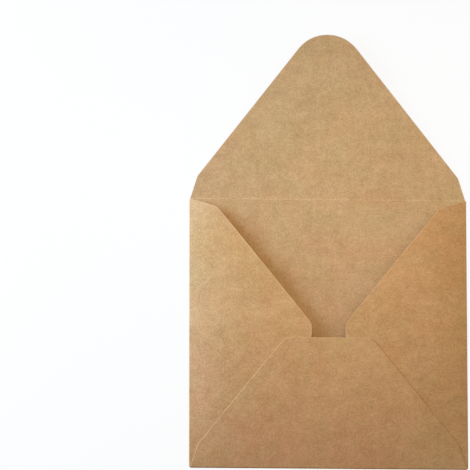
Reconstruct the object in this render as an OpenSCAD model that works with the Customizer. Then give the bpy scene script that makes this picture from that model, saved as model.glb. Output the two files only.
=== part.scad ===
// A square kraft-paper envelope, empty, lying on its face panel with the top flap open.
// One die-cut sheet makes all of it: the face panel, two side flaps and a bottom flap that
// are folded in and lapped, and a top flap that springs up a little from its crease.

/* [Body] */
// Width of the body, over the two side folds
body_w = 140; // [110:1:220]
// Height of the body, from the bottom fold to the top crease
body_h = 140; // [110:1:220]
// Thickness of the paper
paper_t = 0.2; // [0.15:0.01:0.35]

/* [Pocket] */
// Height that the pocket's wall gains between its folds and its mouth
pocket_rise = 5; // [0:0.25:12]
// How closely the wall's rise keeps to the side folds
side_fullness = 5; // [1:0.5:8]
// How closely the wall's rise keeps to the bottom fold
bottom_fullness = 3; // [1:0.5:8]
// Free height inside a side fold
fold_gap = 0.4; // [0.2:0.05:1]
// Free height between two lapped flaps, which the glue film fills
lap_gap = 0.05; // [0.03:0.01:0.2]
// Length that the corner cuts of the blank take off each end of a fold
corner_cut = 0.2; // [0.1:0.1:1]

/* [Side flaps] */
// Width of the slot between the tips of the two side flaps
slot_w = 17; // [6:1:40]
// Distance from the side fold in to the kink between a flap's shoulder and its long edge
side_shoulder = 11.6; // [6:0.2:20]
// How far the shoulder leans away from the square
side_lean = 4.4; // [1:0.2:10]
// Half length of the straight tip of a side flap
side_tip_half = 1; // [0.5:0.5:10]
// Radius of the corners beside that tip
side_tip_r = 8; // [2:0.5:16]

/* [Bottom flap] */
// Distance from the middle of the body down to the bottom flap's straight top edge
slot_drop = 3.2; // [0:0.2:8]
// Distance from the bottom fold up to the kink between the shoulder and the long edge
bottom_shoulder = 10; // [6:0.5:20]
// How far the shoulder leans away from the square
bottom_lean = 3.3; // [1:0.1:10]
// Half length of the straight top edge
bottom_tip_half = 20; // [10:0.5:30]
// Radius of the corners beside the top edge
bottom_tip_r = 4; // [1:0.5:10]

/* [Top flap] */
// Reach of the open flap, from the crease to its tip
top_reach = 86; // [74:1:110]
// Distance from the crease up to the kink between the shoulder and the long edge
top_shoulder = 10.4; // [6:0.2:20]
// How far the shoulder leans away from the square
top_lean = 3.4; // [1:0.2:10]
// Radius of the flap's round tip
top_tip_r = 18.5; // [6:0.5:30]
// Angle at which the opened flap stands up from the crease
flap_lift = 3; // [0:0.5:12]
// Radius of the ridge that the crease leaves in the paper
crease_r = 0.14; // [0.08:0.01:0.15]

/* [Hidden] */

// Radius of the kink between a flap's shoulder and its long edge
kink_r = 3;
// Widest facet of the pocket's curved wall
facet = 5;
// How far a cutting outline runs back over its fold
cut_back = 1;
arc_steps = 64;

// Underside of each folded layer, where it leaves its fold
side_z = paper_t + fold_gap;
bottom_z = side_z + paper_t + lap_gap;

// Outer radii of the folds
side_r = (side_z + paper_t) / 2;
bottom_r = (bottom_z + paper_t) / 2;

// Half width of the flat face panel, out to where the side folds turn up
panel_half = body_w / 2 - side_r;
envelope_l = body_h + top_reach * cos(flap_lift);

// Ends of the folds, clear of the folds round the corner
side_fold_low = bottom_r + corner_cut;
side_fold_high = body_h - corner_cut;
side_fold_half = (side_fold_high - side_fold_low) / 2;
side_fold_middle = (side_fold_high + side_fold_low) / 2;
bottom_fold_half = panel_half - corner_cut;

// Height of a cutting outline, over the whole pocket
cut_z = bottom_z + paper_t + pocket_rise + 1;

// Lines of the grid on which the pocket's wall is drawn. Both folded layers use it, so
// they stay parallel where they lap.
half_columns = ceil(panel_half / facet);
row_count = ceil((body_h - bottom_r) / facet);
function column_x(i) = panel_half * i / half_columns;
function row_y(j) = bottom_r + (body_h - bottom_r) * j / row_count;

// Share of its full height that the wall has at a distance from a fold
function turn_up(distance, reach, fullness) =
    1 - pow(1 - min(max(distance, 0), reach) / reach, fullness);

function wall_rise(x, y) =
    pocket_rise
    * turn_up(panel_half - abs(x), panel_half, side_fullness)
    * turn_up(y - bottom_r, body_h - bottom_r, bottom_fullness);

// Outline of a flap, seen with its fold along X and its tip towards +Y
module flap_outline(fold_half, lean, shoulder, tip_half, tip_r, reach, back = 0) {
    kink_half = fold_half - lean - kink_r;
    hull() {
        polygon([
            [-fold_half, -back], [fold_half, -back], [fold_half, 0],
            [kink_half, shoulder], [-kink_half, shoulder], [-fold_half, 0],
        ]);
        for (side = [-1, 1]) {
            translate([side * kink_half, shoulder]) circle(kink_r, $fn = arc_steps);
            translate([side * tip_half, reach - tip_r]) circle(tip_r, $fn = arc_steps);
        }
    }
}

// Half round turn of paper along a fold, in the same place as the flap's outline
module fold_bend(fold_half, outer_r) {
    inner_r = outer_r - paper_t;
    clear = 1;
    translate([-fold_half, 0, outer_r])
        rotate([0, 90, 0])
            difference() {
                cylinder(r = outer_r, h = 2 * fold_half, $fn = arc_steps);
                translate([0, 0, -clear])
                    cylinder(r = inner_r, h = 2 * (fold_half + clear), $fn = arc_steps);
                translate([-outer_r - clear, 0, -clear])
                    cube([2 * (outer_r + clear), outer_r + clear, 2 * (fold_half + clear)]);
            }
}

// Curved sheet of paper over part of the body, its underside at base_z along the folds
module wall_sheet(first_column, last_column, last_row, base_z) {
    columns = last_column - first_column + 1;
    rows = last_row + 1;
    skin = columns * rows;
    points = [
        for (z = [base_z, base_z + paper_t], j = [0:last_row], i = [first_column:last_column])
            [column_x(i), row_y(j), z + wall_rise(column_x(i), row_y(j))]
    ];
    // Number of the point at column i and row j, on the underside or, with top = 1, above it
    function at(i, j, top = 0) = top * skin + j * columns + i;
    // Strip of paper edge between two neighbouring points of the grid
    function edge(i, j, next_i, next_j) =
        [at(i, j, 1), at(next_i, next_j, 1), at(next_i, next_j), at(i, j)];
    // The cells' diagonals are mirrored about the middle of the body, as the side flaps are
    underside = [
        for (j = [0:rows - 2], i = [0:columns - 2])
            let (a = at(i, j), b = at(i + 1, j), c = at(i + 1, j + 1), d = at(i, j + 1))
                each first_column + i < 0 ? [[a, b, c], [a, c, d]] : [[a, b, d], [b, c, d]]
    ];
    upper_side = [for (f = underside) [f[2] + skin, f[1] + skin, f[0] + skin]];
    edges = [
        for (i = [0:columns - 2]) each [edge(i, 0, i + 1, 0), edge(i + 1, rows - 1, i, rows - 1)],
        for (j = [0:rows - 2]) each [edge(0, j + 1, 0, j), edge(columns - 1, j, columns - 1, j + 1)],
    ];
    polyhedron(points, concat(underside, upper_side, edges));
}

module face_panel() {
    translate([-panel_half, bottom_r, 0])
        cube([2 * panel_half, body_h - bottom_r, paper_t]);
}

// Left side flap, folded in
module side_flap() {
    reach = (body_w - slot_w) / 2 - side_r;
    intersection() {
        wall_sheet(-half_columns, 0, row_count, side_z);
        translate([-panel_half, side_fold_middle, 0])
            rotate(-90)
                linear_extrude(cut_z)
                    flap_outline(side_fold_half, side_lean, side_shoulder,
                                 side_tip_half, side_tip_r, reach, cut_back);
    }
    translate([-panel_half, side_fold_middle, 0])
        rotate(-90)
            fold_bend(side_fold_half, side_r);
}

// Bottom flap, folded up over the side flaps
module bottom_flap() {
    reach = body_h / 2 - slot_drop - bottom_r;
    top_row = ceil(reach * row_count / (body_h - bottom_r));
    translate([0, bottom_r, 0])
        fold_bend(bottom_fold_half, bottom_r);
    intersection() {
        wall_sheet(-half_columns, half_columns, top_row, bottom_z);
        translate([0, bottom_r, 0])
            linear_extrude(cut_z)
                flap_outline(bottom_fold_half, bottom_lean, bottom_shoulder,
                             bottom_tip_half, bottom_tip_r, reach, cut_back);
    }
}

// Open top flap
module top_flap() {
    translate([0, body_h, 0])
        rotate([flap_lift, 0, 0])
            linear_extrude(paper_t)
                flap_outline(panel_half, top_lean, top_shoulder, 0, top_tip_r, top_reach);
}

// Ridge that the paper keeps along the opened crease
module crease_ridge() {
    translate([-panel_half, body_h, paper_t])
        rotate([0, 90, 0])
            cylinder(r = crease_r, h = 2 * panel_half, $fn = arc_steps);
}

module envelope() {
    color("burlywood")
        translate([0, -envelope_l / 2, 0]) {
            face_panel();
            side_flap();
            mirror([1, 0, 0]) side_flap();
            bottom_flap();
            top_flap();
            crease_ridge();
        }
}

envelope();
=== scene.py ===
"""A plain square kraft-paper envelope with its pointed flap open, lying on a pale floor.

The envelope is one die-cut blank. Its flat outline is drawn as a fine mesh, and a Geometry Nodes
tree folds it along its creases, bows the pocket's walls, gives the paper its thickness and hands
out three materials: the sheet's inside, its outside and its cut edge.
"""

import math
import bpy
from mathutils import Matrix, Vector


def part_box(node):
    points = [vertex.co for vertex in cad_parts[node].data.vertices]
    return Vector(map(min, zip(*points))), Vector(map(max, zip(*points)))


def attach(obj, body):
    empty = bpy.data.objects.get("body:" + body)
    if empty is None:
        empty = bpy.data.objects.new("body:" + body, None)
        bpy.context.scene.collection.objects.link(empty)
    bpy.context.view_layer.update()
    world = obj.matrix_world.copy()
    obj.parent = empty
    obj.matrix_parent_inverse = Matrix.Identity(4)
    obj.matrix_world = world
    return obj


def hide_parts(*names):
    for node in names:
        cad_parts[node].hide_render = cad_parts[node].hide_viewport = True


bl_info = {
    "name": "Kraft envelope",
    "version": (1, 0, 0),
    "blender": (4, 5, 0),
    "location": "3D View > Sidebar > Envelope",
    "description": "Folds a kraft-paper envelope from its flat blank and lights it on a pale floor",
    "category": "Object",
}

import bpy
import numpy as np
from mathutils import Matrix, Vector
from mathutils.geometry import convex_hull_2d

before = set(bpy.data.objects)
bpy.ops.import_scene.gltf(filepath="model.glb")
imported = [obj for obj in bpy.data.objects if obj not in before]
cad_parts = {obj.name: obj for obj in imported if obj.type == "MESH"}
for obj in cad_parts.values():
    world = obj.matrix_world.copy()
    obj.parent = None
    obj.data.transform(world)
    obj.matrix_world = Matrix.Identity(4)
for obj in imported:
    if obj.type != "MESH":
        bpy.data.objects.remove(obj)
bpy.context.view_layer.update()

MM = 0.001
NODE = "envelope"
BODY = "root"
LOW_CORNER, HIGH_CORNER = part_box(NODE)
BODY_WIDTH, TOTAL_LENGTH, _ = HIGH_CORNER - LOW_CORNER

# The blank's own map, in metres on the flat sheet, and the distances that the materials read
PAPER_MAP = "paper"
CUT_DISTANCE = "cut_distance"
FOLD_DISTANCE = "fold_distance"

# Heading of a flap's outline at which its long edge becomes its tip
TIP_HEADING = math.radians(155)
# Rows of mesh on the flaps, and how far they crowd towards the fold
SIDE_ROWS, BOTTOM_ROWS, TOP_ROWS = 58, 60, 76
ROW_CROWDING = 1.3
# Steps round a bend of the paper, and round a corner of an outline
BEND_STEPS = 12
ARC_STEPS = 64
# Length that one radian of an outline's turn counts as when points are spread along it
TURN_LENGTH = 4 * MM
# Least gap beside a kept grid line, as a share of the mesh's step
LEAST_GAP = 0.4
# Distances below the crease, in millimetres, of the extra rows of mesh that carry its ridge
RIDGE_ROWS = (0.1, 0.2, 0.3, 0.5, 0.8)
# A length too small to matter, by which points are told apart
SEAM = 0.001 * MM
# Edges of the mesh that turn more than this stay sharp
SHARP_ANGLE = math.radians(50)

# The paper's noise patterns: size in millimetres, detail, and how far along the endless noise each is
# read, so that their blotches don't fall together
PATTERNS = {
    "cloud": (22, 1.0, 0),
    "blotch": (5.5, 0.0, 150),
    "mottle": (2.2, 0.0, 600),
    "grain": (0.85, 0.0, 0),
    "russet": (15, 3.0, 300),
    "straw": (15, 3.0, 450),
    # drift's place in the noise is chosen so that it paints the light's colour on the sheet: redder
    # towards the bottom, where the light is warmer, and yellower at the top left, where it is cooler
    "drift": (90, 0.0, 5211),
}
HUE_PATTERNS = ("russet", "straw", "drift")
# Each pattern's share in the paper's tone, from dark to light, and the tone's mean
TONE_SHARES = {"cloud": 0.27, "blotch": 0.3, "mottle": 0.3, "grain": 0.65, "fibres": 0.5}
TONE_MEAN = 0.47
# Noise levels between which a patch of another hue sets in
PATCH_LEVELS = (0.35, 0.75)
# Length and width of the fibres in millimetres, and their headings in degrees
FIBRE_SIZE = (2.4, 0.35)
FIBRE_HEADINGS = (4, 63, 118)
# Specks of bark, in millimetres: spacing, radius, depth of colour from 0 to 1, and place in the pattern
SPECKS = ((31, 0.42, 0.75, 0), (5.5, 0.2, 0.5, 70))
# Distances from a cut and from a fold at which its wear begins, and at which it is full
CUT_WEAR = (0.6 * MM, 0.2 * MM)
FOLD_WEAR = (0.5 * MM, 0.15 * MM)
# Width and depth of the pressed rim of the glued flap, and height of the paper's grain
RIM_WIDTH, RIM_DEPTH = 0.5 * MM, 0.13 * MM
GRAIN_HEIGHT = 0.008 * MM
ROUGHNESS = 0.72

# The camera's place, fitted to the photograph's view
VIEW_AZIMUTH = math.radians(-6.92)
VIEW_ELEVATION = math.radians(74.39)
VIEW_ROLL = math.radians(7.19)
VIEW_DISTANCE = 4.0
VIEW_AIM = Vector((-46.93 * MM, 8.28 * MM, 0))
VIEW_LENS = 607.03

# The lamps, aimed at the middle of the body: azimuth and elevation in degrees, distance and size in
# metres
LAMP_AIM = Vector((0, -30 * MM, 0))
LAMPS = {"high": (95, 70, 0.2, 0.12), "low": (165, 18, 0.5, 0.3), "fill": (30, 30, 0.3, 0.2)}
# Half width of the floor, its distance below the envelope, and how near to plain white it is seen
FLOOR_REACH, FLOOR_DROP, FLOOR_WHITE = 6.0, 0.02 * MM, 0.9


def length(name, millimetres, description):
    """A property that holds a length."""
    return bpy.props.FloatProperty(
        name=name, description=description, default=millimetres * MM, min=0, precision=5, unit="LENGTH"
    )


def number(name, value, description, **limits):
    """A property that holds a plain number."""
    return bpy.props.FloatProperty(name=name, description=description, default=value, **limits)


def colour(name, value, description):
    """A property that holds a linear colour."""
    return bpy.props.FloatVectorProperty(
        name=name, description=description, default=value, size=3, min=0, max=1, subtype="COLOR"
    )


class EnvelopeSizes(bpy.types.PropertyGroup):
    """Sizes of the blank and of the way it is folded."""

    width: length("Body width", BODY_WIDTH / MM, "Width over the two side folds")
    height: length("Body height", BODY_WIDTH / MM, "Height from the bottom fold to the top crease")
    paper: length("Paper", 0.2, "Thickness of the paper")
    fold_gap: length("Fold gap", 0.4, "Free height inside a side fold")
    lap_gap: length("Lap gap", 0.05, "Free height between lapped flaps")
    corner_cut: length("Corner cut", 0.2, "Length that the blank's corner cuts take off a fold")
    pocket_rise: length("Pocket rise", 5, "Height that the pocket's wall gains up to its mouth")
    side_fullness: number("Side fullness", 5, "How closely the rise keeps to the side folds", min=1)
    bottom_fullness: number("Bottom fullness", 3, "How closely the rise keeps to the bottom fold", min=1)
    kink_radius: length("Kink radius", 3, "Radius between a flap's shoulder and its long edge")
    slot_width: length("Slot width", 17, "Between the tips of the two side flaps")
    slot_drop: length("Slot drop", 3.2, "From the body's middle down to the bottom flap's top edge")
    side_shoulder: length("Side shoulder", 11.6, "From the side fold in to the kink")
    side_lean: length("Side lean", 4.4, "How far the side flap's shoulder leans in")
    side_tip: length("Side tip", 1, "Half length of the side flap's straight tip")
    side_tip_radius: length("Side tip radius", 8, "Radius of the corners beside that tip")
    bottom_shoulder: length("Bottom shoulder", 10, "From the bottom fold up to the kink")
    bottom_lean: length("Bottom lean", 3.3, "How far the bottom flap's shoulder leans in")
    bottom_tip: length("Bottom tip", 20, "Half length of the bottom flap's straight top edge")
    bottom_tip_radius: length("Bottom tip radius", 4, "Radius of the corners beside that edge")
    top_shoulder: length("Top shoulder", 10.4, "From the crease up to the kink")
    top_lean: length("Top lean", 3.4, "How far the top flap's shoulder leans in")
    top_tip_radius: length("Top tip radius", 18.5, "Radius of the top flap's round tip")
    flap_lift: bpy.props.FloatProperty(
        name="Flap lift",
        description="Angle at which the opened top flap stands up from the crease",
        default=math.radians(3),
        subtype="ANGLE",
    )
    crease_height: length("Crease height", 0.1, "Height of the ridge along the opened crease")
    crease_width: length("Crease width", 0.25, "Half width of that ridge")
    cockle: length("Cockle", 0.15, "Height of the paper's slight waves")
    cockle_size: length("Cockle size", 45, "Length of those waves")
    mesh_step: length("Mesh step", 1.7, "Width of the mesh's faces")


class PaperLook(bpy.types.PropertyGroup):
    """Colours of the kraft paper."""

    inner_light: colour("Inside, light", (0.74, 0.48, 0.274), "Colour of the inside's thin fibres")
    inner_dark: colour("Inside, dark", (0.392, 0.22, 0.092), "Colour of the inside's dense fibres")
    outer_light: colour("Outside, light", (0.776, 0.464, 0.234), "Colour of the outside's thin fibres")
    outer_dark: colour("Outside, dark", (0.416, 0.206, 0.0715), "Colour of the outside's dense fibres")
    russet: colour("Russet patches", (1, 0.935, 0.895), "Tint of the sheet's redder patches")
    straw: colour("Straw patches", (0.955, 1, 0.94), "Tint of the sheet's yellower patches")
    # Painted light: the two drift tints stand for the light's colour, redder towards the bottom and
    # yellower at the top left
    painted_warm_light_tint: colour("Redder drift", (1, 0.9, 0.85), "Tint towards which the sheet slowly reddens")
    painted_cool_light_tint: colour("Yellower drift", (0.92, 1, 0.93), "Tint towards which the sheet slowly yellows")
    fleck: colour("Flecks", (0.154, 0.077, 0.028), "Colour of the specks of bark")
    raw: colour("Raw fibres", (0.76, 0.5, 0.26), "Colour of cut and cracked fibres")


class StudioLight(bpy.types.PropertyGroup):
    """Light and floor of the small studio."""

    high_share: number("High lamp", 0.456, "Share of full light that the high lamp gives", min=0)
    high_tint: colour("High lamp's tint", (1, 0.805, 0.476), "Colour of the high lamp's light")
    low_share: number("Low lamp", 0.59, "Share of full light that the low lamp gives", min=0)
    low_tint: colour("Low lamp's tint", (0.469, 0.705, 1), "Colour of the low lamp's light")
    fill_share: number("Fill lamp", 0.143, "Share of full light that the lamp on the right gives", min=0)
    fill_tint: colour("Fill lamp's tint", (0.895, 1, 0.909), "Colour of the light from the right")
    surround_share: number("Surround", 0.14, "Share of full light that comes from all round", min=0)
    surround_tint: colour("Surround's tint", (1, 0.5, 0.286), "Colour of the light from all round")
    floor: colour("Floor", (0.9, 0.9, 0.9), "Colour of the floor")


class Socket:
    """One output of a node. Python's operators on it add the Math nodes that work out the result."""

    def __init__(self, graph, output):
        self.graph = graph
        self.output = output

    def out(self, name):
        """Another output of the same node."""
        return Socket(self.graph, pick(self.output.node.outputs, name))

    def __add__(self, other):
        return self.graph.math("ADD", self, other)

    def __sub__(self, other):
        return self.graph.math("SUBTRACT", self, other)

    def __rsub__(self, other):
        return self.graph.math("SUBTRACT", other, self)

    def __mul__(self, other):
        return self.graph.math("MULTIPLY", self, other)

    def __truediv__(self, other):
        return self.graph.math("DIVIDE", self, other)

    def __rtruediv__(self, other):
        return self.graph.math("DIVIDE", other, self)

    def __pow__(self, other):
        return self.graph.math("POWER", self, other)

    __radd__ = __add__
    __rmul__ = __mul__


def pick(sockets, key):
    """A node's socket by its number, or the one in use that has this name."""
    if isinstance(key, int):
        return sockets[key]
    return next(s for s in sockets if s.enabled and s.name == key)


class Graph:
    """A node tree that is written as expressions."""

    SPACING = (190, 170)

    def __init__(self, tree):
        self.tree = tree
        self.tree.nodes.clear()
        self.columns = {}

    def node(self, kind, inputs=None, out=0, **settings):
        """Adds a node: its settings first, then its inputs' values or links. Returns one output."""
        node = self.tree.nodes.new(kind)
        for name, value in settings.items():
            setattr(node, name, value)
        column = 0
        for key, given in (inputs or {}).items():
            socket = pick(node.inputs, key)
            for value in given if isinstance(given, list) else [given]:
                if isinstance(value, Socket):
                    self.tree.links.new(value.output, socket)
                    column = max(column, self.columns[value.output.node.name] + 1)
                else:
                    socket.default_value = value
        self.columns[node.name] = column
        row = sum(1 for c in self.columns.values() if c == column)
        node.location = (column * self.SPACING[0], -row * self.SPACING[1])
        return Socket(self, pick(node.outputs, out)) if node.outputs else node

    def math(self, operation, *values, clamp=False):
        """A Math node on numbers or sockets."""
        return self.node("ShaderNodeMath", dict(enumerate(values)), operation=operation, use_clamp=clamp)

    def vector(self, operation, *values, **named):
        """A Vector Math node on vectors or sockets, and a scale if it takes one."""
        inputs = dict(enumerate(values)) | {name.capitalize(): value for name, value in named.items()}
        return self.node("ShaderNodeVectorMath", inputs, operation=operation)

    def mix(self, factor, a, b, blend="MIX"):
        """Colour a, or colour b where the factor is 1, or what the two blend to."""
        colours = [c if isinstance(c, Socket) else (*c, 1) for c in (a, b)]
        inputs = {"Factor": factor, "A": colours[0], "B": colours[1]}
        return self.node("ShaderNodeMix", inputs, "Result", data_type="RGBA", blend_type=blend)

    def smooth(self, value, low, high):
        """0 up to low and 1 from high on, with a smooth rise between. Low may be above high."""
        inputs = {"Value": value, "From Min": low, "From Max": high}
        return self.node("ShaderNodeMapRange", inputs, interpolation_type="SMOOTHSTEP")

    def noise(self, place, size, detail=2.0, roughness=0.5):
        """Noise from 0 to 1 whose blotches are about this size."""
        inputs = {"Vector": place, "Scale": 1 / size, "Detail": detail, "Roughness": roughness}
        return self.node("ShaderNodeTexNoise", inputs)


# Outline of the blank

def flap_outline(fold_half, shape, kink_radius):
    """Right half of a flap's outline, from the end of its fold to the middle of its tip.

    The fold lies along the first axis, and the flap reaches out along the second. Shape holds its
    lean, shoulder, half tip, tip radius and reach.
    """
    lean, shoulder, tip_half, tip_radius, reach = shape
    turn = np.linspace(0, math.pi / 2, ARC_STEPS + 1)
    arc = np.stack([np.cos(turn), np.sin(turn)], 1)
    kink = (fold_half - lean - kink_radius, shoulder) + kink_radius * arc
    tip = (tip_half, reach - tip_radius) + tip_radius * arc
    ends = [(0, 0), (fold_half, 0), (0, reach)]
    points = np.vstack([ends, kink, tip]) / MM
    hull = points[convex_hull_2d(points.tolist())]
    heading_out = np.arctan2(hull[:, 1], hull[:, 0])
    half = hull[np.argsort(heading_out)] * MM
    return half[np.hypot(*half.T) > SEAM]


def along(line, shares):
    """Points of a polyline at these shares of its way, crowded where it turns."""
    steps = np.diff(line, axis=0)
    heading = np.unwrap(np.arctan2(steps[:, 1], steps[:, 0]))
    way = np.hypot(*steps.T)
    way[1:] += TURN_LENGTH * np.abs(np.diff(heading))
    way = np.append(0, np.cumsum(way))
    return np.stack([np.interp(shares * way[-1], way, axis) for axis in line.T], 1)


def flap_patch(places, outline, row_count):
    """Points of a flap as rows of a grid, from its fold out, with a point at each of these places."""
    steps = np.diff(outline, axis=0)
    corner = int(np.argmax(np.arctan2(steps[:, 1], steps[:, 0]) > TIP_HEADING))
    out = np.linspace(0, 1, row_count + 1) ** ROW_CROWDING
    right = along(outline[: corner + 1], out)
    tip = along(outline[corner:][::-1], np.abs(places) / places[-1])
    tip[:, 0] *= np.sign(places)
    left = right * (-1, 1)
    fold = np.stack([places, np.zeros_like(places)], 1)
    s = ((places - places[0]) / (places[-1] - places[0]))[None, :, None]
    t = out[:, None, None]
    from_ends = (1 - t) * fold + t * tip
    from_sides = (1 - s) * left[:, None] + s * right[:, None]
    from_corners = (1 - t) * ((1 - s) * left[0] + s * right[0]) + t * ((1 - s) * left[-1] + s * right[-1])
    return from_ends + from_sides - from_corners


def grid_lines(low, high, step, kept):
    """Evenly spaced numbers from low to high, with the kept ones in the place of those beside them."""
    even = np.linspace(low, high, round((high - low) / step) + 1)
    apart = np.abs(even[:, None] - kept).min(1) > LEAST_GAP * step
    return np.sort(np.append(even[apart], kept))


def blank_mesh(sizes, fold):
    """The flat blank: face panel, side flaps, bottom flap and top flap in one sheet of faces."""
    half, panel_length, cut = fold["Panel half width"], fold["Panel length"], sizes.corner_cut
    columns = grid_lines(-half, half, sizes.mesh_step, [-half, cut - half, half - cut, half])
    ridge = [panel_length - row * MM for row in RIDGE_ROWS]
    rows = grid_lines(0, panel_length, sizes.mesh_step, [0, cut, *ridge, panel_length])
    across, up = np.meshgrid(columns, rows)
    points = [np.stack([across.ravel(), up.ravel()], 1)]
    panel = np.arange(across.size).reshape(across.shape)
    grids = [panel]

    def add_flap(hinge, middle, outward, shape, bend_radius, row_count):
        """Adds a flap outward from these points of the panel, past its bend."""
        sideways = np.array([outward[1], -outward[0]])
        places = (points[0][hinge] - middle) @ sideways
        patch = flap_patch(places, flap_outline(places[-1], shape, sizes.kink_radius), row_count)
        bend = math.pi * bend_radius
        strip = [
            np.stack([places, np.full_like(places, bend * k / BEND_STEPS)], 1)
            for k in range(1, BEND_STEPS + 1) if bend
        ]
        local = np.array([*strip, *(patch[1:] + (0, bend))])
        first = sum(map(len, points))
        flat = middle + local[..., :1] * sideways + local[..., 1:] * np.array(outward)
        points.append(flat.reshape(-1, 2))
        grids.append(np.vstack([[hinge], first + np.arange(flat[..., 0].size).reshape(flat.shape[:2])]))

    inner = (rows > cut - SEAM) & (rows < panel_length - cut + SEAM)
    middle = (rows[inner][0] + rows[inner][-1]) / 2
    side_reach = half - sizes.slot_width / 2
    bottom_reach = sizes.height / 2 - sizes.slot_drop - fold["Bottom edge"]
    side = (sizes.side_lean, sizes.side_shoulder, sizes.side_tip, sizes.side_tip_radius, side_reach)
    bottom = (
        sizes.bottom_lean, sizes.bottom_shoulder, sizes.bottom_tip, sizes.bottom_tip_radius, bottom_reach
    )
    top = (sizes.top_lean, sizes.top_shoulder, 0, sizes.top_tip_radius, fold["Top reach"])
    add_flap(panel[inner, 0], (-half, middle), (-1, 0), side, fold["Side bend"], SIDE_ROWS)
    add_flap(panel[inner, -1][::-1], (half, middle), (1, 0), side, fold["Side bend"], SIDE_ROWS)
    add_flap(panel[0, 1:-1][::-1], (0, 0), (0, -1), bottom, fold["Bottom bend"], BOTTOM_ROWS)
    add_flap(panel[-1], (0, panel_length), (0, 1), top, 0, TOP_ROWS)

    points = np.vstack(points)
    faces = np.vstack([
        np.stack([g[:-1, :-1], g[:-1, 1:], g[1:, 1:], g[1:, :-1]], -1).reshape(-1, 4) for g in grids
    ])
    flat = np.column_stack([points, np.zeros(len(points))])
    mesh = bpy.data.meshes.new("blank")
    mesh.from_pydata(flat.tolist(), [], faces.tolist(), shade_flat=False)
    corners = np.empty(len(mesh.loops), np.int32)
    mesh.loops.foreach_get("vertex_index", corners)
    paper_map = mesh.uv_layers.new(name=PAPER_MAP)
    paper_map.uv.foreach_set("vector", points[corners].astype(np.float32).ravel())
    return mesh


# Folding

def fold_inputs(sizes):
    """The folding tree's inputs, worked out from the envelope's sizes."""
    side_bend = (sizes.fold_gap + sizes.paper) / 2
    bottom_bend = side_bend + (sizes.paper + sizes.lap_gap) / 2
    bottom_edge = bottom_bend + sizes.paper / 2
    return {
        "Paper": sizes.paper,
        "Panel half width": sizes.width / 2 - side_bend - sizes.paper / 2,
        "Panel length": sizes.height - bottom_edge,
        "Bottom edge": bottom_edge,
        "Side bend": side_bend,
        "Bottom bend": bottom_bend,
        "Top reach": (TOTAL_LENGTH - sizes.height) / math.cos(sizes.flap_lift),
        "Pocket rise": sizes.pocket_rise,
        "Side fullness": sizes.side_fullness,
        "Bottom fullness": sizes.bottom_fullness,
        "Flap lift": sizes.flap_lift,
        "Crease height": sizes.crease_height,
        "Crease width": sizes.crease_width,
        "Cockle": sizes.cockle,
        "Cockle size": sizes.cockle_size,
        "Seed": 0.37,
    }


def folded_place(graph, size):
    """Where each point of the flat blank lies once the blank is folded."""
    u = graph.node("ShaderNodeSeparateXYZ", {"Vector": graph.node("GeometryNodeInputPosition")}, "X")
    v = u.out("Y")
    half, panel_length, rise = size["Panel half width"], size["Panel length"], size["Pocket rise"]
    side_bend, bottom_bend = size["Side bend"], size["Bottom bend"]

    def share(distance, reach, fullness):
        """Share of its full rise that the wall has at a distance from a fold."""
        return 1 - (1 - graph.math("DIVIDE", distance, reach, clamp=True)) ** fullness

    def bend(beyond, radius, slope):
        """How far the paper has turned at a distance beyond a fold's start, and the run after the turn."""
        turn = graph.math("MINIMUM", beyond / radius, math.pi - slope)
        return turn, graph.math("MAXIMUM", beyond - turn * radius, 0)

    beyond_side = graph.math("MAXIMUM", graph.math("ABSOLUTE", u) - half, 0)
    beyond_bottom = graph.math("MAXIMUM", 0 - v, 0)
    beyond_crease = graph.math("MAXIMUM", v - panel_length, 0)

    inward = graph.math("MINIMUM", graph.math("ABSOLUTE", u), half)
    side_share = share(half - inward, half, size["Side fullness"])
    bottom_slope = graph.math("ARCTANGENT", side_share * rise * size["Bottom fullness"] / panel_length)
    bottom_turn, bottom_run = bend(beyond_bottom, bottom_bend, bottom_slope)
    on_panel = graph.math("MINIMUM", graph.math("MAXIMUM", v, 0), panel_length)
    y = on_panel + bottom_run - graph.math("SINE", bottom_turn) * bottom_bend

    bottom_share = share(y, panel_length, size["Bottom fullness"])
    side_slope = graph.math("ARCTANGENT", bottom_share * rise * size["Side fullness"] / half)
    side_turn, side_run = bend(beyond_side, side_bend, side_slope)
    x = inward + graph.math("SINE", side_turn) * side_bend - side_run

    from_side = half + graph.math("SINE", side_slope) * side_bend - x
    from_bottom = y + graph.math("SINE", bottom_slope) * bottom_bend
    on_wall = graph.math("GREATER_THAN", side_run + bottom_run, SEAM)
    wall = (
        share(from_side, half, size["Side fullness"])
        * share(from_bottom, panel_length, size["Bottom fullness"])
        * on_wall
    )
    x = graph.math("SIGN", u) * x
    y = y + graph.math("COSINE", size["Flap lift"]) * beyond_crease

    place = graph.node("ShaderNodeCombineXYZ", {"X": x, "Y": y, "Z": size["Seed"]})
    waves = graph.noise(graph.vector("SCALE", place, scale=1 / size["Cockle size"]), 1, 1.0)
    from_crease = (v - panel_length) / size["Crease width"]
    ridge = graph.math("EXPONENT", 0 - from_crease * from_crease)
    ridge = ridge * (1 - graph.math("GREATER_THAN", beyond_side, 0))
    z = (
        size["Paper"] / 2
        + (1 - graph.math("COSINE", side_turn)) * side_bend
        + (1 - graph.math("COSINE", bottom_turn)) * bottom_bend
        + graph.math("SINE", size["Flap lift"]) * beyond_crease
        + wall * rise
        + ridge * size["Crease height"]
        + waves * size["Cockle"]
    )
    return graph.node("ShaderNodeCombineXYZ", {"X": x, "Y": y + size["Bottom edge"], "Z": z})


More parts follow.
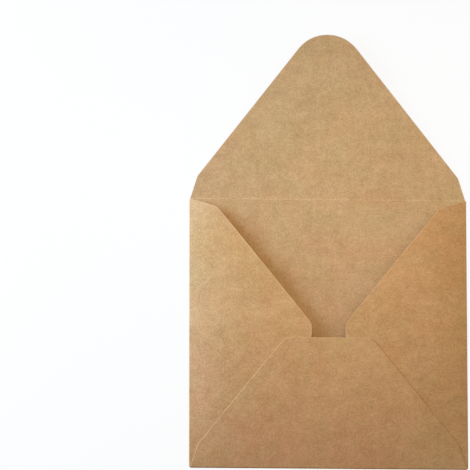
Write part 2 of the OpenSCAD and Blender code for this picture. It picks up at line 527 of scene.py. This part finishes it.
def fold_distance(graph, size):
    """How far each point of the flat blank is from the middle of the nearest fold."""
    u = graph.node("ShaderNodeSeparateXYZ", {"Vector": graph.node("GeometryNodeInputPosition")}, "X")
    v = u.out("Y")
    quarter = math.pi / 2
    side_middle = size["Panel half width"] + size["Side bend"] * quarter
    side = graph.math("ABSOLUTE", graph.math("ABSOLUTE", u) - side_middle)
    bottom = graph.math("ABSOLUTE", v + size["Bottom bend"] * quarter)
    crease = graph.math("ABSOLUTE", v - size["Panel length"])
    return graph.math("MINIMUM", graph.math("MINIMUM", side, bottom), crease)


def folding_tree(inputs, origin, materials):
    """Node tree that folds the flat blank and gives it the paper's thickness.

    Origin is the place of the bottom fold's outer edge, and materials are those of the sheet's
    inside, its outside and its cut edge. Returns the tree and its inputs' identifiers by name.
    """
    tree = bpy.data.node_groups.new("fold_envelope", "GeometryNodeTree")
    graph = Graph(tree)
    tree.interface.new_socket("Blank", in_out="INPUT", socket_type="NodeSocketGeometry")
    identifiers = {}
    for name, value in inputs.items():
        socket = tree.interface.new_socket(name, in_out="INPUT", socket_type="NodeSocketFloat")
        socket.default_value = value
        identifiers[name] = socket.identifier
    tree.interface.new_socket("Envelope", in_out="OUTPUT", socket_type="NodeSocketGeometry")
    blank = graph.node("NodeGroupInput", out="Blank")
    size = {name: blank.out(name) for name in inputs}
    inside, outside, edge = materials

    def store(geometry, name, value):
        """Keeps a value for each point, for the materials to read."""
        given = {"Geometry": geometry, "Name": name, "Value": value}
        return graph.node("GeometryNodeStoreNamedAttribute", given, data_type="FLOAT", domain="POINT")

    def dress(geometry, material, selection=True):
        """Gives faces their material."""
        given = {"Geometry": geometry, "Selection": selection, "Material": material}
        return graph.node("GeometryNodeSetMaterial", given)

    neighbours = graph.node("GeometryNodeInputMeshEdgeNeighbors")
    at_cut = graph.node(
        "FunctionNodeCompare", {"A": neighbours, "B": 1}, data_type="INT", operation="EQUAL"
    )
    cuts = graph.node(
        "GeometryNodeSeparateGeometry", {"Geometry": blank, "Selection": at_cut}, domain="EDGE"
    )
    from_cut = graph.node("GeometryNodeProximity", {"Geometry": cuts}, "Distance", target_element="EDGES")
    sheet = store(store(blank, CUT_DISTANCE, from_cut), FOLD_DISTANCE, fold_distance(graph, size))
    place = graph.vector("ADD", folded_place(graph, size), origin)
    sheet = graph.node("GeometryNodeSetPosition", {"Geometry": sheet, "Position": place})

    outward = graph.vector("SCALE", graph.node("GeometryNodeInputNormal"), scale=size["Paper"] / -2)
    outer = graph.node("GeometryNodeSetPosition", {"Geometry": sheet, "Offset": outward})
    thick = graph.node(
        "GeometryNodeExtrudeMesh",
        {"Mesh": outer, "Offset Scale": size["Paper"], "Individual": False},
        mode="FACES",
    )
    flipped = graph.node("GeometryNodeFlipFaces", {"Mesh": outer})
    parts = [dress(thick, inside), dress(flipped, outside)]
    closed = graph.node(
        "GeometryNodeMergeByDistance",
        {"Geometry": graph.node("GeometryNodeJoinGeometry", {"Geometry": parts}), "Distance": SEAM},
    )
    real = graph.node("GeometryNodeRealizeInstances", {"Geometry": closed})
    graph.node("NodeGroupOutput", {"Envelope": dress(real, edge, thick.out("Side"))})
    return tree, identifiers


# Materials

def new_material(name):
    """An empty material and its graph."""
    material = bpy.data.materials.new(name)
    material.use_nodes = True
    return material, Graph(material.node_tree)


def kraft_paper(name, look, tones, layer, hue_layer, wear, edge_share=0.0):
    """Brown kraft paper: cloudy layers of fibres, redder and yellower patches and specks of bark, under a
    slow painted tint of the light that makes it redder towards the bottom and yellower at the top left.

    Tones are its dark and its light colour. Layer moves the pattern, so that the two sides differ,
    and hue_layer moves its patches of hue. Wear is how far the raw fibres show along a cut, and
    edge_share is how far they show all over.
    """
    material, graph = new_material(name)
    place = graph.node("ShaderNodeUVMap", uv_map=PAPER_MAP)
    place = graph.vector("MULTIPLY_ADD", place, (1 / MM,) * 3, (0, 0, layer))

    def pattern(name):
        """One of the paper's noise patterns."""
        size, detail, offset = PATTERNS[name]
        rise = hue_layer - layer if name in HUE_PATTERNS else 0
        return graph.noise(graph.vector("ADD", place, (offset, 0, rise)), size, detail)

    patterns = {name: pattern(name) for name in PATTERNS}
    blotch, grain = patterns["blotch"], patterns["grain"]

    fibres = 0
    for heading in FIBRE_HEADINGS:
        turned = graph.node(
            "ShaderNodeVectorRotate",
            {"Vector": place, "Angle": math.radians(heading)},
            rotation_type="Z_AXIS",
        )
        along_fibres = graph.vector("DIVIDE", turned, (*FIBRE_SIZE, 1))
        fibres = graph.noise(along_fibres, 1, 1.0) + fibres
    fibres = patterns["fibres"] = fibres / len(FIBRE_HEADINGS)

    tone = TONE_MEAN
    for pattern_name, share in TONE_SHARES.items():
        tone = (patterns[pattern_name] - 0.5) * share + tone
    paper = graph.mix(tone, *tones)
    # Painted light: the slow drift makes the sheet redder towards the bottom, where the light is warmer,
    # and yellower at the top left, where it is cooler
    drift = graph.mix(patterns["drift"], look.painted_cool_light_tint, look.painted_warm_light_tint)
    paper = graph.mix(1.0, paper, drift, "MULTIPLY")
    paper = graph.mix(graph.smooth(patterns["russet"], *PATCH_LEVELS), paper, look.russet, "MULTIPLY")
    paper = graph.mix(graph.smooth(patterns["straw"], *PATCH_LEVELS), paper, look.straw, "MULTIPLY")

    def flecks(spacing, radius, depth, offset):
        """Specks of bark, one at most in each cell, some of them hardly there."""
        spot = graph.node(
            "ShaderNodeTexVoronoi",
            {"Vector": graph.vector("ADD", place, (offset, 0, 0)), "Scale": 1 / spacing},
            voronoi_dimensions="2D",
        )
        shade = graph.node("ShaderNodeSeparateColor", {"Color": spot.out("Color")})
        round_spot = graph.smooth(spot * spacing, radius, radius * 0.4)
        return round_spot * graph.smooth(shade, 0.4, 1.0) * depth

    specks = graph.math("MAXIMUM", *(flecks(*sort) for sort in SPECKS))
    paper = graph.mix(specks, paper, look.fleck)

    # The glued bottom flap, which lies below zero on the map, has a pressed rim in place of raw fibres
    glued = graph.smooth(graph.node("ShaderNodeSeparateXYZ", {"Vector": place}, "Y"), -1, -4)
    from_cut = graph.node("ShaderNodeAttribute", out="Fac", attribute_name=CUT_DISTANCE)
    from_fold = graph.node("ShaderNodeAttribute", out="Fac", attribute_name=FOLD_DISTANCE)
    uneven = graph.smooth(blotch, 0.1, 0.6) * 0.4 + 0.6
    worn_cut = graph.smooth(from_cut, *CUT_WEAR) * uneven * (1 - glued) * wear
    broken = graph.smooth(grain, 0.3, 0.7) * graph.smooth(blotch, 0.2, 0.6)
    worn_fold = graph.smooth(from_fold, *FOLD_WEAR) * (broken * 0.4 + 0.12)
    worn = graph.math("MAXIMUM", graph.math("MAXIMUM", worn_cut, worn_fold), edge_share)
    paper = graph.mix(worn, paper, look.raw)

    pressed = graph.smooth(from_cut, RIM_WIDTH, 0.0) * glued * RIM_DEPTH
    height = (grain * 0.5 + fibres) * GRAIN_HEIGHT - pressed
    bump = graph.node("ShaderNodeBump", {"Strength": 1.0, "Distance": 1.0, "Height": height})
    shader = graph.node(
        "ShaderNodeBsdfPrincipled",
        {"Base Color": paper, "Roughness": ROUGHNESS + (grain - 0.5) * 0.2, "Normal": bump},
    )
    graph.node("ShaderNodeOutputMaterial", {"Surface": shader})
    return material


def seen_white(graph, surface, share):
    """A surface that the camera, and gloss and glass, see this much nearer to plain white."""
    path = seen = graph.node("ShaderNodeLightPath", out="Is Camera Ray")
    for ray in ("Is Glossy Ray", "Is Transmission Ray"):
        seen = graph.math("MAXIMUM", seen, path.out(ray))
    white = graph.node("ShaderNodeEmission", {"Color": (1, 1, 1, 1), "Strength": 1.0})
    return graph.node("ShaderNodeMixShader", {0: seen * share, 1: surface, 2: white})


def floor_material(look):
    """Pale matt floor that keeps the object's shadow."""
    material, graph = new_material("pale_floor")
    matt = graph.node("ShaderNodeBsdfDiffuse", {"Color": (*look.floor, 1)})
    graph.node("ShaderNodeOutputMaterial", {"Surface": seen_white(graph, matt, FLOOR_WHITE)})
    return material


# Operators

class ENVELOPE_OT_fold(bpy.types.Operator):
    """Cuts the blank, folds it into the envelope and dresses it in kraft paper"""

    bl_idname = "envelope.fold"
    bl_label = "Fold the envelope"

    def execute(self, context):
        sizes, look = context.scene.envelope_sizes, context.scene.paper_look
        inputs = fold_inputs(sizes)
        inner, outer = (look.inner_dark, look.inner_light), (look.outer_dark, look.outer_light)
        materials = (
            kraft_paper("kraft_inside", look, inner, layer=0, hue_layer=150, wear=0.15),
            kraft_paper("kraft_outside", look, outer, layer=40, hue_layer=40, wear=0.45),
            kraft_paper("kraft_cut_edge", look, outer, 80, 80, wear=0.65, edge_share=0.7),
        )
        blank = blank_mesh(sizes, inputs)
        piece = bpy.data.objects.new("folded_envelope", blank)
        context.scene.collection.objects.link(piece)
        origin = Vector((0, LOW_CORNER.y, LOW_CORNER.z))
        tree, identifiers = folding_tree(inputs, origin, materials)
        folding = piece.modifiers.new("fold", "NODES")
        folding.node_group = tree
        for name, value in inputs.items():
            folding[identifiers[name]] = value
        folded = piece.evaluated_get(context.evaluated_depsgraph_get())
        mesh = bpy.data.meshes.new_from_object(folded)
        piece.modifiers.clear()
        piece.data = mesh
        mesh.set_sharp_from_angle(angle=SHARP_ANGLE)
        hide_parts(NODE)
        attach(piece, BODY)
        return {"FINISHED"}


def lamp(name, azimuth, elevation, distance, size, share, tint):
    """A square lamp that gives level paper in the middle of the body this share of full light."""
    data = bpy.data.lights.new(name, "AREA")
    azimuth, elevation = math.radians(azimuth), math.radians(elevation)
    level = math.cos(elevation)
    way = distance * Vector((level * math.cos(azimuth), level * math.sin(azimuth), math.sin(elevation)))
    data.size = size
    data.color = tint
    data.energy = share * math.pi**2 * distance**2 / math.sin(elevation)
    piece = bpy.data.objects.new(name, data)
    turned = way.to_track_quat("Z", "Y").to_matrix().to_4x4()
    piece.matrix_world = Matrix.Translation(LAMP_AIM + way) @ turned
    piece.visible_camera = False
    bpy.context.scene.collection.objects.link(piece)


def photo_camera():
    """The camera, turned and placed as in the photograph."""
    back = Vector((
        math.sin(VIEW_AZIMUTH) * math.cos(VIEW_ELEVATION),
        -math.cos(VIEW_AZIMUTH) * math.cos(VIEW_ELEVATION),
        math.sin(VIEW_ELEVATION),
    ))
    right = Vector((math.cos(VIEW_AZIMUTH), math.sin(VIEW_AZIMUTH), 0))
    axes = Matrix((right, back.cross(right), back)).transposed()
    turned = Matrix.Rotation(VIEW_ROLL, 3, back) @ axes
    data = bpy.data.cameras.new("camera")
    data.lens = VIEW_LENS
    camera = bpy.data.objects.new("camera", data)
    camera.matrix_world = Matrix.Translation(VIEW_AIM + back * VIEW_DISTANCE) @ turned.to_4x4()
    bpy.context.scene.collection.objects.link(camera)
    bpy.context.scene.camera = camera


class ENVELOPE_OT_stage(bpy.types.Operator):
    """Lays the pale floor and sets up the light and the camera"""

    bl_idname = "envelope.stage"
    bl_label = "Set the stage"

    def execute(self, context):
        studio = context.scene.studio_light
        low = LOW_CORNER.z - FLOOR_DROP
        signs = ((-1, -1), (1, -1), (1, 1), (-1, 1))
        corners = [(x * FLOOR_REACH, y * FLOOR_REACH, low) for x, y in signs]
        mesh = bpy.data.meshes.new("floor")
        mesh.from_pydata(corners, [], [(0, 1, 2, 3)])
        mesh.materials.append(floor_material(studio))
        floor = bpy.data.objects.new("floor", mesh)
        context.scene.collection.objects.link(floor)

        world = bpy.data.worlds.new("surround")
        world.use_nodes = True
        graph = Graph(world.node_tree)
        given = {"Color": (*studio.surround_tint, 1), "Strength": studio.surround_share}
        light = graph.node("ShaderNodeBackground", given)
        graph.node("ShaderNodeOutputWorld", {"Surface": seen_white(graph, light, 1.0)})
        context.scene.world = world

        for name, place in LAMPS.items():
            lamp(f"{name}_lamp", *place, getattr(studio, f"{name}_share"), getattr(studio, f"{name}_tint"))
        photo_camera()
        context.scene.view_settings.view_transform = "Standard"
        return {"FINISHED"}


class ENVELOPE_PT_sidebar(bpy.types.Panel):
    """Sizes, colours and steps of the envelope"""

    bl_label = "Envelope"
    bl_idname = "ENVELOPE_PT_sidebar"
    bl_space_type = "VIEW_3D"
    bl_region_type = "UI"
    bl_category = "Envelope"

    def draw(self, context):
        scene = context.scene
        groups = {"Sizes": scene.envelope_sizes, "Paper": scene.paper_look, "Light": scene.studio_light}
        for title, group in groups.items():
            box = self.layout.box()
            box.label(text=title)
            for name in type(group).__annotations__:
                box.prop(group, name)
        for operator in (ENVELOPE_OT_fold, ENVELOPE_OT_stage):
            self.layout.operator(operator.bl_idname)


CLASSES = (
    EnvelopeSizes, PaperLook, StudioLight, ENVELOPE_OT_fold, ENVELOPE_OT_stage, ENVELOPE_PT_sidebar
)


def register():
    for kind in CLASSES:
        bpy.utils.register_class(kind)
    bpy.types.Scene.envelope_sizes = bpy.props.PointerProperty(type=EnvelopeSizes)
    bpy.types.Scene.paper_look = bpy.props.PointerProperty(type=PaperLook)
    bpy.types.Scene.studio_light = bpy.props.PointerProperty(type=StudioLight)


def unregister():
    del bpy.types.Scene.studio_light
    del bpy.types.Scene.paper_look
    del bpy.types.Scene.envelope_sizes
    for kind in reversed(CLASSES):
        bpy.utils.unregister_class(kind)


def main():
    register()
    bpy.ops.envelope.fold()
    bpy.ops.envelope.stage()


if __name__ == "__main__":
    main()
